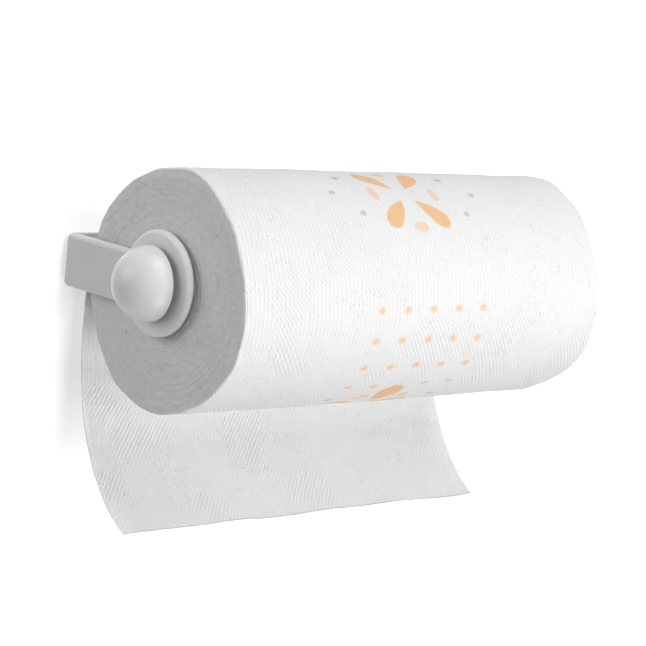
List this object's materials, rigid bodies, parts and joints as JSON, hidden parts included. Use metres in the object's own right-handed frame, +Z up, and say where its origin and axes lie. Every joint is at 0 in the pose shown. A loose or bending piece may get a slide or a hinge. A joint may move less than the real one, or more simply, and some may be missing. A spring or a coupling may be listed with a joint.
{
  "type": "paper towel holder",
  "caption": "Wall-mounted paper towel holder: a plastic bracket whose spring-closed arm and turning hubs carry a paper roll.",
  "frame": {"origin": "middle of the back plate's wall face, level with the hubs' axis", "axes": "+X along the roll from the fixed arm towards the swinging arm, +Y into the wall, +Z up"},
  "size_m": [0.34, 0.1459, 0.2066],
  "materials": {
    "white_plastic": "satin",
    "nylon": "satin",
    "zinc_steel": "satin",
    "spring_steel": "satin",
    "core_card": "matte",
    "wound_paper": "matte",
    "towel_sheet": "matte"
  },
  "bodies": {
    "holder": {"bracket": "white_plastic", "hinge_pin": "zinc_steel", "hinge_clip": "spring_steel", "hinge_spring": "spring_steel", "hanging_sheet": "towel_sheet"},
    "swing_arm": {"right_arm": "white_plastic"},
    "roll": {"core_tube": "core_card", "paper_roll": "wound_paper"},
    "left_spindle": {"left_hub": "white_plastic", "left_thrust_washer": "nylon", "left_wave_washer": "spring_steel", "left_knob": "white_plastic", "left_hub_screw": "zinc_steel"},
    "right_spindle": {"right_hub": "white_plastic", "right_thrust_washer": "nylon", "right_wave_washer": "spring_steel", "right_knob": "white_plastic", "right_hub_screw": "zinc_steel"}
  },
  "joints": [
    {"name": "arm_swing", "type": "hinge", "parent": "holder", "child": "swing_arm", "pos_m": [0.14445, -0.005, 0], "axis": [0, 0, 1], "range_deg": [0, 35], "stiffness_Nm_per_rad": 0.12, "springref_deg": -57.3, "deforming": ["hinge_spring"]},
    {"name": "roll_spin", "type": "hinge", "parent": "holder", "child": "roll", "pos_m": [0, -0.0792, -0.00449], "axis": [1, 0, 0], "continuous": true},
    {"name": "left_hub_spin", "type": "hinge", "parent": "holder", "child": "left_spindle", "pos_m": [-0.14945, -0.0792, 0], "axis": [1, 0, 0], "continuous": true},
    {"name": "right_hub_spin", "type": "hinge", "parent": "swing_arm", "child": "right_spindle", "pos_m": [0.14945, -0.0792, 0], "axis": [1, 0, 0], "continuous": true}
  ],
  "couplings": [
    {"joint": "left_hub_spin", "follows": "roll_spin", "ratio": 1.2824},
    {"joint": "right_hub_spin", "follows": "roll_spin", "ratio": 1.2824}
  ]
}
